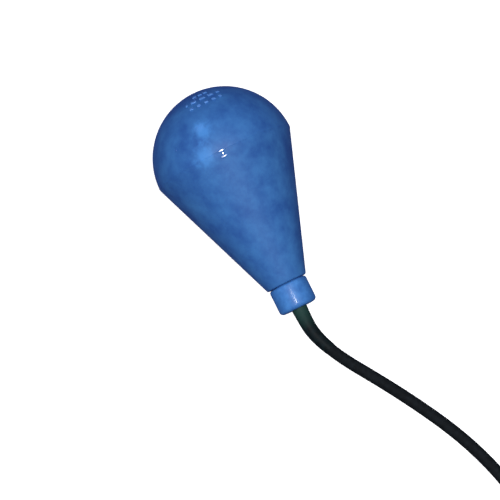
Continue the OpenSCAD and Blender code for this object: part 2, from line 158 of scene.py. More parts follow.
def pour(source, into):
    """Adds all of one bmesh to another, and frees the first."""
    spare = bpy.data.meshes.new("spare")
    source.to_mesh(spare)
    source.free()
    into.from_mesh(spare)
    bpy.data.meshes.remove(spare)


def arc(centre, radius, start, end, steps):
    """Points (r, z) along a round stretch of an outline, angles in degrees from +r towards +z."""
    turn = [math.radians(start + (end - start) * i / steps) for i in range(steps + 1)]
    return [(centre[0] + radius * math.cos(a), centre[1] + radius * math.sin(a)) for a in turn]


def turned(outline, steps, closed=True):
    """A bmesh of an outline of (r, z) points turned about the Z axis, as on a lathe."""
    bm = bmesh.new()
    ring = [bm.verts.new((r, 0, z)) for r, z in outline]
    pairs = zip(ring, ring[1:] + ring[:1]) if closed else zip(ring, ring[1:])
    edges = [bm.edges.new(pair) for pair in pairs]
    bmesh.ops.spin(bm, geom=ring + edges, cent=(0, 0, 0), axis=(0, 0, 1), angle=math.tau,
        steps=steps, use_merge=True)
    bmesh.ops.remove_doubles(bm, verts=bm.verts, dist=0.002 * MM)
    bmesh.ops.recalc_face_normals(bm, faces=bm.faces)
    return bm


# %% [markdown]
# ## The cable
# The cable is one curve with a round bevel, the natural way to draw something long and thin. Its
# first stretch leaves the nut, bends down under its weight and runs along the surface in a loose
# curve, so its points are listed one by one. The rest of the five metres is a neat coil, four turns
# wide and four high, and a loop works out its points. The last stretch comes down beside the coil.

# %% The listed stretches, in metres
LEAD = [(0.0779, 0, 0.0133), (0.0827, 0, 0.0118), (0.088, 0, 0.0101), (0.0935, 0.0005, 0.0083),
    (0.0989, 0.0017, 0.0068), (0.1042, 0.0034, 0.0056), (0.111, 0.006, 0.0047),
    (0.1185, 0.0092, 0.0044), (0.128, 0.014, 0.0043), (0.14, 0.0209, 0.0043),
    (0.156, 0.0298, 0.0043), (0.174, 0.039, 0.0043), (0.194, 0.0485, 0.0043),
    (0.216, 0.057, 0.0043), (0.243, 0.064, 0.0044), (0.27, 0.067, 0.0047),
    (0.3, 0.0665, 0.0052)]
RUN = [(0.3685, 0.0427, 0.0314), (0.3794, 0.0359, 0.0314), (0.3903, 0.0268, 0.0313),
    (0.3994, 0.0148, 0.0295), (0.4045, 0, 0.0255), (0.4033, -0.0183, 0.0205),
    (0.3967, -0.0354, 0.0155), (0.3857, -0.0502, 0.0105), (0.3719, -0.0622, 0.0065),
    (0.3532, -0.0713, 0.0045), (0.338, -0.0746, 0.0043), (0.325, -0.075, 0.0043),
    (0.312, -0.075, 0.0043), (0.297, -0.075, 0.0043), (0.282, -0.075, 0.0043),
    (0.268, -0.075, 0.0043)]

# %% [markdown]
# In the coil, every turn keeps to a slot of its own: across a row, up one, and back. Where a turn
# moves to its next slot, the slot has to be free already, so the turns wound last move first.

# %% The coil's turns
coil_low, coil_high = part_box("cable_coil")
COIL_X = (coil_low[0] + coil_high[0]) / 2
COIL_R = (coil_high[0] - coil_low[0]) / 2 - CABLE_R
COIL_FLOOR = coil_low[2] + CABLE_R
PITCH = 8.6 * MM
ROWS = COLUMNS = 4
TURNS = 14 + 1 / 12
POINTS_A_TURN = 36
FIRST_MOVE, MOVE_LENGTH, WAIT_SHARE = 0.30, 0.20, 0.4


def slot_place(k):
    """Radius and height of slot k of the winding."""
    row, step = divmod(k, COLUMNS)
    column = step if row % 2 == 0 else COLUMNS - 1 - step
    return Vector((COIL_R - column * PITCH, COIL_FLOOR + row * PITCH))


def coil_point(turns):
    """The point of the cable that many turns into the coil."""
    k = int(turns)
    row, step = divmod(k, COLUMNS)
    waits = 2 * (ROWS - 1 - row) - (step == COLUMNS - 1)
    start = FIRST_MOVE + WAIT_SHARE * MOVE_LENGTH * waits
    t = min(max((turns - k - start) / MOVE_LENGTH, 0), 1)
    r, z = slot_place(k).lerp(slot_place(k + 1), t * t * (3 - 2 * t))
    angle = math.radians(90 - 360 * turns)
    return (COIL_X + r * math.cos(angle), r * math.sin(angle), z)


coil_steps = round(TURNS * POINTS_A_TURN)
coil_points = [coil_point(TURNS * i / coil_steps) for i in range(coil_steps + 1)]
print(len(LEAD), "points to the coil,", len(coil_points), "in it,", len(RUN), "after it")

# %% Draw the cable as one curve
curve = bpy.data.curves.new("cable", "CURVE")
curve.dimensions = "3D"
curve.bevel_depth, curve.bevel_resolution, curve.use_fill_caps = 1, 5, True
spline = curve.splines.new("NURBS")
route = LEAD + coil_points + RUN
spline.points.add(len(route) - 1)
for point, place in zip(spline.points, route):
    point.co = (*place, 1)
    point.radius = CABLE_R
spline.order_u, spline.use_endpoint_u, spline.resolution_u = 4, True, 3
curve.resolution_u = 3
cable = bpy.data.objects.new("cable", curve)
bpy.context.collection.objects.link(cable)
settle(cable, "case", "cable_rubber", ["cable_lead", "cable_coil", "cable_run", "cable_tail"])
drawn = sum((Vector(a) - Vector(b)).length for a, b in zip(route, route[1:]))
print(f"cable: {drawn:.3f} m along its points")

# %% Read the cable's own line back
def centre_line(curve_object):
    """The points that the finished curve runs through, from a copy without its bevel."""
    bare = curve_object.data.copy()
    bare.bevel_depth = 0
    probe = bpy.data.objects.new("probe", bare)
    line = [v.co.copy() for v in probe.to_mesh().vertices]
    probe.to_mesh_clear()
    bpy.data.objects.remove(probe)
    bpy.data.curves.remove(bare)
    return line


line = centre_line(cable)
CABLE_LENGTH = sum((a - b).length for a, b in zip(line, line[1:]))
print(f"cable: {CABLE_LENGTH:.3f} m on its finished line of {len(line)} points")

# %% [markdown]
# ## The ties
# Each tie is a hook-and-loop strap. Its path is one chain of points: up the outer wall of the
# coil, over the shoulder where the last turn lies one column in, down the inside, under, and up
# the outer wall again over its own start. The chain is extruded across the strap's width, bent
# to the coil's curve, and given its thickness by a Solidify modifier.

# %% The strap's path round one side of the coil
STRAP_WIDTH, STRAP_THICK, STRAP_EDGE = 10 * MM, 1.15 * MM, 0.3 * MM
SLIP, LAP_GAP = 0.04 * MM, 0.15 * MM
TIE_ANGLES = (150, 255, 345)
top_row = COIL_FLOOR + (ROWS - 1) * PITCH
inner_turn = COIL_R - (COLUMNS - 1) * PITCH


def strap_path():
    """Points (r, z) from the strap's start to its end, which lies over the start."""
    close = CABLE_R + SLIP
    over = close + STRAP_THICK + LAP_GAP
    path = [(COIL_R + close, COIL_FLOOR + 0.2 * PITCH)]
    path += arc((COIL_R, COIL_FLOOR + 2 * PITCH), close, 0, 45, 4)
    path += arc((COIL_R - PITCH, top_row), close, 45, 90, 4)
    path += arc((inner_turn, top_row), close, 90, 180, 8)
    path += arc((inner_turn, COIL_FLOOR), close, 180, 270, 8)
    path += arc((COIL_R, COIL_FLOOR), close, 270, 320, 5)
    path += arc((COIL_R, COIL_FLOOR), over, 335, 360, 3)
    path.append((COIL_R + over, COIL_FLOOR + 1.0 * PITCH))
    return path


# %% Make the three ties as one piece
bm = bmesh.new()
STEPS_ACROSS = 6
run = bm.verts.layers.float.new("run")
uv = bm.loops.layers.uv.new("strap")
for angle in TIE_ANGLES:
    chain = [bm.verts.new((r, -STRAP_WIDTH / 2, z)) for r, z in strap_path()]
    for before, after in zip(chain, chain[1:]):
        after[run] = before[run] + (after.co - before.co).length
    edges = [bm.edges.new(pair) for pair in zip(chain, chain[1:])]
    strap = list(chain)
    for _ in range(STEPS_ACROSS):
        made = bmesh.ops.extrude_edge_only(bm, edges=edges)["geom"]
        new = [g for g in made if isinstance(g, bmesh.types.BMVert)]
        edges = [g for g in made if isinstance(g, bmesh.types.BMEdge)]
        edges = [e for e in edges if all(v in new for v in e.verts)]
        bmesh.ops.translate(bm, verts=new, vec=(0, STRAP_WIDTH / STEPS_ACROSS, 0))
        strap += new
    for loop in {loop for v in strap for loop in v.link_loops}:
        loop[uv].uv = (loop.vert.co.y, loop.vert[run])
    for v in strap:
        turn = math.radians(angle) + v.co.y / v.co.x
        v.co = (COIL_X + v.co.x * math.cos(turn), v.co.x * math.sin(turn), v.co.z)
bm.normal_update()
first = bm.faces[:][0]
outward = first.calc_center_median() - Vector((COIL_X, 0, first.calc_center_median().z))
mesh = bpy.data.meshes.new("coil_ties")
if first.normal.dot(outward) < 0:
    bmesh.ops.reverse_faces(bm, faces=bm.faces)
bm.to_mesh(mesh)
bm.free()
mesh.shade_smooth()
ties = bpy.data.objects.new("ties", mesh)
bpy.context.collection.objects.link(ties)
thicken = ties.modifiers.new("thickness", "SOLIDIFY")
thicken.thickness, thicken.offset, thicken.use_even_offset = STRAP_THICK, 1, True
soften = ties.modifiers.new("edges", "BEVEL")
soften.width, soften.segments, soften.limit_method = STRAP_EDGE, 2, "ANGLE"
soften.angle_limit = math.radians(60)
settle(ties, "case", "tie_fabric", ["coil_ties"])
print("ties:", len(mesh.polygons), "faces before their thickness")

# %% [markdown]
# ## The bared end
# The sheath is cut square and three cores come out of it: brown, black and blue, each with a
# crimped ferrule so that it can go straight into a terminal. Core and ferrule are turned outlines.
# They stay inside the sheath's own outline, so that a gland can still be slid on from this end.

# %% Turn the cores and ferrules
CORE_R, CORE_SUNK, CORE_ROUND = 1.2 * MM, 2 * MM, 0.3 * MM
FERRULE_R, COLLAR = 0.8 * MM, 2.4 * MM
CRIMP = (0.86, 1.06, 1)
TAIL_TURN = Matrix.Rotation(math.radians(-90), 4, "Y")
tail_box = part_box("cable_tail")
sheath_end = tail_box[0][0]
core_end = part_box("tail_core_brown")[0][0]
ferrule_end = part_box("tail_ferrules")[0][0]


def end_on(node):
    """The matrix that stands +Z along a tail core, with z = 0 where the sheath ends."""
    low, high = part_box(node)
    middle = (sheath_end, (low[1] + high[1]) / 2, (low[2] + high[2]) / 2)
    return Matrix.Translation(middle) @ TAIL_TURN


core_long = sheath_end - core_end
ferrule_long = sheath_end - ferrule_end
core_outline = [(0, -CORE_SUNK), (CORE_R, -CORE_SUNK), (CORE_R, core_long - CORE_ROUND)]
core_outline += arc((CORE_R - CORE_ROUND, core_long - CORE_ROUND), CORE_ROUND, 0, 90, 4)
core_outline += [(0, core_long)]
for colour in ("brown", "black", "blue"):
    node = f"tail_core_{colour}"
    finish(turned(core_outline, 24, closed=False), f"bared_core_{colour}", f"core_{colour}",
        [node], place=end_on(node))

bm = bmesh.new()
collar_top = core_long + COLLAR
ferrule_outline = [(0, core_long - 0.1 * MM), (CORE_R - 0.15 * MM, core_long - 0.1 * MM),
    (CORE_R, core_long + 0.2 * MM), (CORE_R - 0.05 * MM, collar_top - 0.5 * MM),
    (FERRULE_R, collar_top), (FERRULE_R, ferrule_long - 0.25 * MM),
    (FERRULE_R - 0.2 * MM, ferrule_long), (0, ferrule_long)]
for colour in ("brown", "black", "blue"):
    one = turned(ferrule_outline, 20, closed=False)
    crimped = [v for v in one.verts if v.co.z > collar_top + 0.1 * MM]
    bmesh.ops.scale(one, vec=CRIMP, verts=crimped)
    bmesh.ops.transform(one, matrix=end_on(f"tail_core_{colour}"), verts=one.verts)
    pour(one, bm)
finish(bm, "ferrules", "tinned_brass", ["tail_ferrules"], place=Matrix.Identity(4))

# %% [markdown]
# ## The ball end
# The ball is half of a hollow moulding, so it is turned from its section: the outside arc, the
# rounded lip at the seam, the spigot that the cone slides over, and the inside arc back to the
# pole. Three short rows of raised dashes run across its upper side, for grip while the weld sets.
# They aren't stuck on: faces of the same mesh are extruded outwards, as the mould would form them.

# %% Turn the ball end
WALL = 3 * MM
LIP = 0.4 * MM
SPIGOT_R, SPIGOT_IN = BALL_R - 4 * MM, BALL_R - 6.5 * MM
SPIGOT_UP, SPIGOT_DOWN = 4.8 * MM, 6 * MM
CHAMFER = 0.4 * MM
CASE_STEPS = 240
RING_STEP, RING_GAP = 2.5, 0.8
MARK_ROWS = ((28.5, 31.0, 14, 6, 4), (36.0, 38.6, 24, 8, 5), (43.5, 45.8, 20, 6, 3))


def down_angle(height, radius):
    """Angle below the equator of a point that far below it on a ball, in degrees."""
    return math.degrees(math.asin(height / radius))


lip_angle = down_angle(LIP, BALL_R)
bands = [90 - a for row in MARK_ROWS for a in row[:2]]
between = [90 - RING_STEP * i for i in range(1, round(90 / RING_STEP))]
rings = sorted(bands + [a for a in between if all(abs(a - b) > RING_GAP for b in bands)])
outline = [(0, -BALL_R)]
outline += [(BALL_R * math.cos(math.radians(a)), -BALL_R * math.sin(math.radians(a)))
    for a in reversed(rings) if a > lip_angle + 1]
outline += [(BALL_R * math.cos(math.radians(lip_angle)), -LIP)]
outline += arc((BALL_R - LIP, -LIP), LIP, 10, 90, 6)
outline += [(SPIGOT_R, 0), (SPIGOT_R, SPIGOT_UP - CHAMFER), (SPIGOT_R - CHAMFER, SPIGOT_UP)]
outline += [(SPIGOT_IN, SPIGOT_UP), (SPIGOT_IN, -SPIGOT_DOWN)]
outline += arc((0, 0), BALL_R - WALL, -down_angle(SPIGOT_DOWN, BALL_R - WALL), -90, 24)
ball = turned(outline, CASE_STEPS, closed=False)
print("ball end:", len(ball.faces), "faces")

# %% Raise the rows of dashes
MARK_HEIGHT, MARK_ROUND = 0.8 * MM, 0.35 * MM
MARK_MIDDLE = 183


def is_marked(face):
    """True for a face that a dash is raised from. A row is two angles from the pole, half its
    length in degrees round the axis, and how many steps there are from dash to dash and in one."""
    middle = face.calc_center_median()
    if middle.length < BALL_R - 0.5 * MM:
        return False
    tilt = math.degrees(math.atan2(math.hypot(middle.x, middle.y), -middle.z))
    turn = math.degrees(math.atan2(middle.y, middle.x)) % 360
    step = int(turn / 360 * CASE_STEPS)
    return any(low < tilt < high and abs(turn - MARK_MIDDLE) < half and step % every < long
        for low, high, half, every, long in MARK_ROWS)


marked = [f for f in ball.faces if is_marked(f)]
mark_count = len(marked)
raised = bmesh.ops.extrude_face_region(ball, geom=marked)["geom"]
tops = [g for g in raised if isinstance(g, bmesh.types.BMVert)]
bmesh.ops.delete(ball, geom=marked, context="FACES")
for v in tops:
    v.co *= (BALL_R + MARK_HEIGHT) / BALL_R
rims = [e for e in ball.edges if len(e.link_faces) == 2 and e.calc_face_angle() > math.radians(60)
    and all(v in set(tops) for v in e.verts)]
bmesh.ops.bevel(ball, geom=rims, offset=MARK_ROUND, offset_type="OFFSET", segments=3,
    profile=0.5, affect="EDGES", material=-1)
finish(ball, "ball_end", "case_polypropylene", ["dome_shell"])
print("dashes:", mark_count, "faces raised")

# %% [markdown]
# The plastic entered the mould at one small gate beside the dashes, and its stub was pressed flat.

# %% Turn the gate's stub
GATE_TILT, GATE_TURN = 72, 226
GATE_R, GATE_HIGH = 0.9 * MM, 0.35 * MM
stub = [(0, -0.5 * MM), (GATE_R, -0.5 * MM), (GATE_R, GATE_HIGH - 0.15 * MM),
    (GATE_R - 0.15 * MM, GATE_HIGH), (0, GATE_HIGH - 0.12 * MM)]
lean_out = Matrix.Rotation(math.radians(GATE_TURN), 4, "Z")
lean_out = lean_out @ Matrix.Rotation(math.radians(180 - GATE_TILT), 4, "Y")
finish(turned(stub, 24, closed=False), "gate_stub", "case_polypropylene",
    place=LAY_DOWN @ lean_out @ Matrix.Translation((0, 0, BALL_R)))

# %% [markdown]
# ## The cone
# The cone is turned too. Its outline starts at its own lip of the seam, runs straight to the small
# end, steps down to the threaded neck that the nut screws on, and comes back up the inside. The
# weld leaves a fine bead in the groove between the two lips, and that is a small turned ring.

# %% Turn the cone and the weld's bead
CONE_LEN = 96 * MM
CONE_END_R = 14.6 * MM
NECK_R, CREST, SEAT_R, BORE_R = 9.9 * MM, 0.6 * MM, 8.2 * MM, 4.6 * MM
THREAD_PITCH, ROOT_HALF, CREST_HALF = 2 * MM, 0.6 * MM, 0.1 * MM
WEB, SHOULDER, NECK_CHAMFER = 10 * MM, 5 * MM, 0.5 * MM
SOCKET_R = SPIGOT_R + 0.1 * MM
slope = (BALL_R - CONE_END_R) / CONE_LEN
lean = math.atan(slope)
lean_deg = math.degrees(lean)
END_ROUND = 1.5 * MM


def wall_line(z):
    """Outer radius of the cone at a height."""
    return BALL_R - slope * z


def wall_inside(z):
    return wall_line(z) - WALL / math.cos(lean)


def tangent_centre(z, radius):
    """Centre of a rounding of that radius that touches the cone's outer line from inside."""
    return (wall_line(z) - radius / math.cos(lean), z)


outline = arc(tangent_centre(LIP, LIP), LIP, -90, lean_deg, 6)
outline += [(wall_line(z), z) for z in [CONE_LEN * i / 24 for i in range(1, 24)]]
outline += arc(tangent_centre(CONE_LEN - END_ROUND, END_ROUND), END_ROUND, lean_deg, 90, 6)
outline += [(NECK_R + CHAMFER, CONE_LEN), (NECK_R, CONE_LEN + CHAMFER)]
thread_z = CONE_LEN + 3 * MM
while thread_z < NECK_END - 1.5 * MM:
    outline += [(NECK_R, thread_z - ROOT_HALF), (NECK_R + CREST, thread_z - CREST_HALF),
        (NECK_R + CREST, thread_z + CREST_HALF), (NECK_R, thread_z + ROOT_HALF)]
    thread_z += THREAD_PITCH
outline += [(NECK_R, NECK_END - NECK_CHAMFER), (NECK_R - NECK_CHAMFER, NECK_END),
    (SEAT_R, NECK_END)]
outline += [(SEAT_R, CONE_LEN), (BORE_R, CONE_LEN), (BORE_R, CONE_LEN - WEB)]
outline += [(wall_inside(CONE_LEN - WEB), CONE_LEN - WEB), (wall_inside(SHOULDER), SHOULDER)]
outline += [(SOCKET_R, SHOULDER), (SOCKET_R, 0)]
finish(turned(outline, CASE_STEPS), "cone", "case_polypropylene", ["cone_shell"])

BEAD_R = 0.25 * MM
bead = arc((BALL_R - BEAD_R - 0.05 * MM, 0), BEAD_R, 0, 345, 11)
finish(turned(bead, CASE_STEPS), "weld_bead", "case_polypropylene")

# %% [markdown]
# The two halves can only go together one way round. A key beside the seam shows it: two short
# rounded ribs, one on the seam and one on the cone, joined by a web. They're drawn as flattened
# balls, sunk into the wall for half of their depth.

# %% Place the key's ribs and web
KEY_TURN = Matrix.Rotation(math.radians(191), 4, "Z")
KEY_LONG = 4 * MM
RIB, WEB_BAR = Vector((0.32, 3.0, 1.25)) * MM, Vector((0.32, 1.2, 2.0)) * MM
bm = bmesh.new()
for height, half in ((0, RIB), (KEY_LONG, RIB), (KEY_LONG / 2, WEB_BAR)):
    place = Matrix.Translation((wall_line(height), 0, height)) @ Matrix.Rotation(-lean / 3, 4, "Y")
    bmesh.ops.create_uvsphere(bm, u_segments=32, v_segments=20, radius=1,
        matrix=KEY_TURN @ place @ Matrix.Diagonal((*half, 1)))
finish(bm, "halves_key", "case_polypropylene")

# %% [markdown]
# ## The gland nut
# The nut is an eight-sided cap. The outside starts as an octagon that is extruded and bevelled:
# first its corners, then both rims. The inside is turned separately, with its thread, and the two
# surfaces are joined by bridging their edge loops at both ends.

# %% Bevel the nut's outside
NUT_SIDES, NUT_FLATS = 8, 27.4 * MM
NUT_TURN = math.radians(11.5)
CORNER_ROUND, RIM_ROUND, BASE_ROUND = 5.0 * MM, 3.0 * MM, 1.8 * MM
NUT_HOLE_R, NUT_BORE = 5.75 * MM, 10.6 * MM
THREAD_FROM, THREAD_TO, NUT_ROOT_HALF = 10 * MM, 1 * MM, 0.5 * MM


def level(verts, z):
    return all(abs(v.co.z - z) < 1e-6 for v in verts)


def rim(bm, z):
    """The edges of the outline at one height."""
    return [e for e in bm.edges if level(e.verts, z) and len(e.link_faces) < 3]


nut = bmesh.new()
start = Matrix.Translation((0, 0, NUT_FROM)) @ Matrix.Rotation(NUT_TURN, 4, "Z")
corner_r = NUT_FLATS / 2 / math.cos(math.pi / NUT_SIDES)
bmesh.ops.create_circle(nut, cap_ends=True, segments=NUT_SIDES, radius=corner_r, matrix=start)
cap = bmesh.ops.extrude_face_region(nut, geom=nut.faces[:])["geom"]
bmesh.ops.translate(nut, vec=(0, 0, NUT_END - NUT_FROM),
    verts=[g for g in cap if isinstance(g, bmesh.types.BMVert)])
bmesh.ops.recalc_face_normals(nut, faces=nut.faces)
upright = [e for e in nut.edges if abs(e.verts[0].co.z - e.verts[1].co.z) > MM]
bmesh.ops.bevel(nut, geom=upright, offset=CORNER_ROUND, offset_type="OFFSET", segments=6,
    profile=0.5, affect="EDGES", material=-1)
for z, amount, segments in ((NUT_END, RIM_ROUND, 8), (NUT_FROM, BASE_ROUND, 5)):
    bmesh.ops.bevel(nut, geom=rim(nut, z), offset=amount, offset_type="OFFSET", segments=segments,
        profile=0.5, affect="EDGES", material=-1)
caps = [f for f in nut.faces if level(f.verts, NUT_END) or level(f.verts, NUT_FROM)]
bmesh.ops.delete(nut, geom=caps, context="FACES_ONLY")
print("nut outside:", len(nut.faces), "faces,", len(caps), "caps opened")

# %% Turn its inside and bridge the two
edge = 0.5 * MM
inside = arc((NUT_HOLE_R + edge, NUT_END - edge), edge, 90, 180, 4)
inside += [(NUT_HOLE_R, NECK_END), (NUT_BORE, NECK_END)]
thread_z = NUT_FROM + THREAD_FROM
while thread_z > NUT_FROM + THREAD_TO:
    inside += [(NUT_BORE, thread_z + NUT_ROOT_HALF), (NUT_BORE - CREST, thread_z + CREST_HALF),
        (NUT_BORE - CREST, thread_z - CREST_HALF), (NUT_BORE, thread_z - NUT_ROOT_HALF)]
    thread_z -= THREAD_PITCH
inside += [(NUT_BORE, NUT_FROM + 0.3 * MM), (NUT_BORE + 0.3 * MM, NUT_FROM)]
pour(turned(inside, 64, closed=False), nut)
for z in (NUT_END, NUT_FROM):
    loops = [e for e in nut.edges if level(e.verts, z) and len(e.link_faces) == 1]
    bmesh.ops.bridge_loops(nut, edges=loops)
finish(nut, "gland_cap", "nut_polypropylene", ["gland_nut"], corner=40)

# %% [markdown]
# ## The bend relief
# The relief is a rubber sleeve that tapers along the bending cable, so it has to follow the
# cable's own line. One ring of points is extruded from place to place: a flange held inside the
# nut, out along the cable while it gets thinner, round its tip, and back along its bore.

# %% Sweep the relief along the cable
RELIEF_R, RELIEF_TIP_R, RELIEF_LONG = 5.55 * MM, 4.34 * MM, 36 * MM
RELIEF_BORE = CABLE_R + SLIP
FLANGE_R, FLANGE_FROM = 8 * MM, 107.2 * MM
FLANGE_TO, SLEEVE_FROM = NECK_END - 0.1 * MM, NUT_END - 2 * MM
RELIEF_SIDES = 40


def on_axis(z):
    """A place on the float's axis and the way it points."""
    return seam_centre + z * along, along


def on_cable(distance):
    """A place that far along the cable's line, and the way it points."""
    walked = 0
    for a, b in zip(line, line[1:]):
        step = (b - a).length
        if walked + step >= distance:
            return a.lerp(b, (distance - walked) / step), (b - a).normalized()
        walked += step


def relief_radius(distance):
    """The sleeve's outer radius: full at the nut, thin where it lets the cable go."""
    t = distance / RELIEF_LONG
    return RELIEF_R + (RELIEF_TIP_R - RELIEF_R) * t ** 0.8


stations = [(on_axis(z), r) for z, r in ((FLANGE_FROM, RELIEF_BORE + 0.3 * MM),
    (FLANGE_FROM, FLANGE_R), (FLANGE_TO, FLANGE_R), (FLANGE_TO, RELIEF_R),
    (SLEEVE_FROM, RELIEF_R))]
lengths = [RELIEF_LONG * i / 24 for i in range(1, 25)]
stations += [(on_cable(d), relief_radius(d)) for d in lengths]
tip = RELIEF_TIP_R - RELIEF_BORE
stations += [(on_cable(RELIEF_LONG + tip * math.sin(math.radians(a))),
    RELIEF_BORE + tip * math.cos(math.radians(a))) for a in (30, 60, 90)]
stations += [(on_cable(d), RELIEF_BORE) for d in reversed(lengths)]
stations += [(on_axis(SLEEVE_FROM), RELIEF_BORE), (on_axis(FLANGE_FROM), RELIEF_BORE)]


def ring_matrix(station):
    (place, direction), radius = station
    turn = direction.to_track_quat("Z", "Y").to_matrix().to_4x4()
    return Matrix.Translation(place) @ turn @ Matrix.Diagonal((radius, radius, radius, 1))


bm = bmesh.new()
bmesh.ops.create_circle(bm, cap_ends=False, segments=RELIEF_SIDES, radius=1,
    matrix=ring_matrix(stations[0]))
loop = bm.edges[:]
first_loop = list(loop)
for before, after in zip(stations, stations[1:]):
    made = bmesh.ops.extrude_edge_only(bm, edges=loop)["geom"]
    new = [g for g in made if isinstance(g, bmesh.types.BMVert)]
    loop = [g for g in made if isinstance(g, bmesh.types.BMEdge) and all(v in new for v in g.verts)]
    bmesh.ops.transform(bm, matrix=ring_matrix(after) @ ring_matrix(before).inverted(), verts=new)
bmesh.ops.bridge_loops(bm, edges=first_loop + loop)
relief = finish(bm, "relief", "epdm_rubber", ["bend_relief"], place=Matrix.Identity(4), corner=50)

# %% [markdown]
# ## The pieces on the cable
# The cable is five metres of medium-stiff round cable, wound for storage and bared at its far end.
# The relief, the ties and the bared end's pieces ride on it, and they are gathered in one list.

on_the_cable = [relief, ties, pieces["ferrules"]]
on_the_cable += [pieces[f"bared_core_{colour}"] for colour in ("brown", "black", "blue")]

# %% [markdown]
# ## Colours and nodes
# Blender's sockets hold linear light, while colours are easiest to read as the sRGB hex codes of a
# paint chart, so one function turns a code to linear. Another adds a node, sets its options and
# links or fills its inputs, which is all that a procedural material is made of.

# %% Two helpers for materials
def linear(code):
    """An sRGB hex colour as the linear colour that a socket holds."""
    parts = [int(code[i:i + 2], 16) / 255 for i in (1, 3, 5)]
    return [p / 12.92 if p <= 0.04045 else ((p + 0.055) / 1.055) ** 2.4 for p in parts] + [1]


def add(tree, kind, inputs, **options):
    """Adds a node with its options. An input is a value, or the output that it is linked to."""
    made = tree.nodes.new("ShaderNode" + kind)
    for name, value in options.items():
        setattr(made, name, value)
    for name, value in inputs.items():
        if isinstance(value, bpy.types.NodeSocket):
            tree.links.new(value, made.inputs[name])
        else:
            made.inputs[name].default_value = value
    return made


def connect(tree, bsdf, colour, roughness, bump):
    """Links a colour, a roughness and a bump to the shader."""
    tree.links.new(colour.outputs["Result"], bsdf.inputs["Base Color"])
    tree.links.new(roughness.outputs["Result"], bsdf.inputs["Roughness"])
    tree.links.new(bump.outputs["Normal"], bsdf.inputs["Normal"])


def blank(name, **shader):
    """A material with one shader, and the object's own coordinates in millimetres."""
    material = bpy.data.materials.new(name)
    material.use_nodes = True
    tree = material.node_tree
    tree.nodes.clear()
    values = {key.replace("_", " "): value for key, value in shader.items()}
    bsdf = add(tree, "BsdfPrincipled", values)
    add(tree, "OutputMaterial", {"Surface": bsdf.outputs["BSDF"]})
    place = add(tree, "TexCoord", {}).outputs["Object"]
    mm = add(tree, "VectorMath", {0: place, "Scale": 1000}, operation="SCALE")
    materials[name] = material
    return tree, bsdf, mm.outputs["Vector"]


materials = {}

# %% [markdown]
# ## Moulded plastics
# The case is polypropylene, injection moulded in a polished steel tool. It is coloured all through
# with pigment that never mixes quite evenly, so the blue is faintly clouded over a centimetre or
# two. As the wall cools it sinks a little here and there, which makes broad reflections wander,
# and a fine orange peel breaks up small ones. Polypropylene's index of refraction is 1.49. The
# other mouldings of the switch differ only in their numbers, so one function makes all of them.

# %% One function for every moulded plastic
def moulded(name, dark, light, ior, roughness, cloud=14, waves=9, sink=0.05, peel=0.004, **more):
    """Clouds of two close colours, sink marks and orange peel. Sizes are in millimetres."""
    tree, bsdf, mm = blank(name, IOR=ior, **more)
    cloudy = add(tree, "TexNoise", {"Vector": mm, "Scale": 1 / cloud, "Detail": 4,
        "Roughness": 0.6})
    mixed = add(tree, "MapRange", {"Value": cloudy.outputs["Fac"], "From Min": 0.3,
        "From Max": 0.7})
    colour = add(tree, "Mix", {"Factor": mixed.outputs["Result"], "A": linear(dark),
        "B": linear(light)}, data_type="RGBA")
    wear = add(tree, "TexNoise", {"Vector": mm, "Scale": 1 / 5, "Detail": 6, "Roughness": 0.7})
    rub = add(tree, "MapRange", {"Value": wear.outputs["Fac"], "From Min": 0.3, "From Max": 0.7,
        "To Min": roughness - 0.06, "To Max": roughness + 0.07})
    sunk = add(tree, "TexNoise", {"Vector": mm, "Scale": 1 / waves, "Detail": 1})
    skin = add(tree, "TexNoise", {"Vector": mm, "Scale": 1 / 0.9, "Detail": 2})
    broad = add(tree, "Bump", {"Height": sunk.outputs["Fac"], "Distance": sink * MM, "Strength": 1})
    fine = add(tree, "Bump", {"Height": skin.outputs["Fac"], "Distance": peel * MM, "Strength": 1,
        "Normal": broad.outputs["Normal"]})
    connect(tree, bsdf, colour, rub, fine)
    return tree, bsdf, mm, colour


gloss = {"Specular_IOR_Level": 0.3, "Coat_Weight": 0.25, "Coat_Roughness": 0.12, "Coat_IOR": 1.49,
    "Sheen_Weight": 0.15, "Sheen_Roughness": 0.5, "Sheen_Tint": linear("#2040C0")}
tree, bsdf, mm, colour = moulded("case_polypropylene", "#2B599E", "#417BBA", 1.49, 0.50, **gloss)
moulded("nut_polypropylene", "#386FB5", "#4C8BD0", 1.49, 0.52, cloud=6, waves=7,
    **gloss | {"Coat_Weight": 0.1})
moulded("frame_plastic", "#C9C4B6", "#DAD6CA", 1.53, 0.42, sink=0.03)
moulded("arm_plastic", "#D8D9D6", "#E6E7E4", 1.48, 0.36, sink=0.03)
moulded("switch_plastic", "#1D1D1F", "#2A2A2D", 1.55, 0.44, cloud=4, waves=5, sink=0.02)
moulded("plunger_plastic", "#A8271E", "#BC3226", 1.48, 0.35, cloud=3, waves=4, sink=0.01)
print(len(materials), "moulded plastics")

# %% [markdown]
# The case's finish isn't the same all over. The key's pocket in the mould was polished, so the key
# shines, and whatever stands proud of the ball is a paler blue. Both are read from the
# place on the float: its distance from the key, and its distance from the ball's centre. Two pale
# patches on the ball, round given places and with frayed edges, are painted highlights.

# %% Polished key, paler dashes and painted highlights
PAINTED_HIGHLIGHTS = ((69, 197.5, 10), (89, 205, 12))
HIGHLIGHT_STRENGTH, WANDER = 0.75, 18
SHINE_TO, DULL_FROM = 2.8, 3.6
PALE_FROM, PALE_FULL = 0.3, 0.75


def ball_place(tilt, turn):
    """The place on the ball that far from its pole, and that far round the axis, in degrees."""
    leaning = Matrix.Rotation(math.radians(turn), 4, "Z")
    leaning = leaning @ Matrix.Rotation(math.radians(-tilt), 4, "Y")
    return LAY_DOWN @ leaning @ Vector((0, 0, -BALL_R))


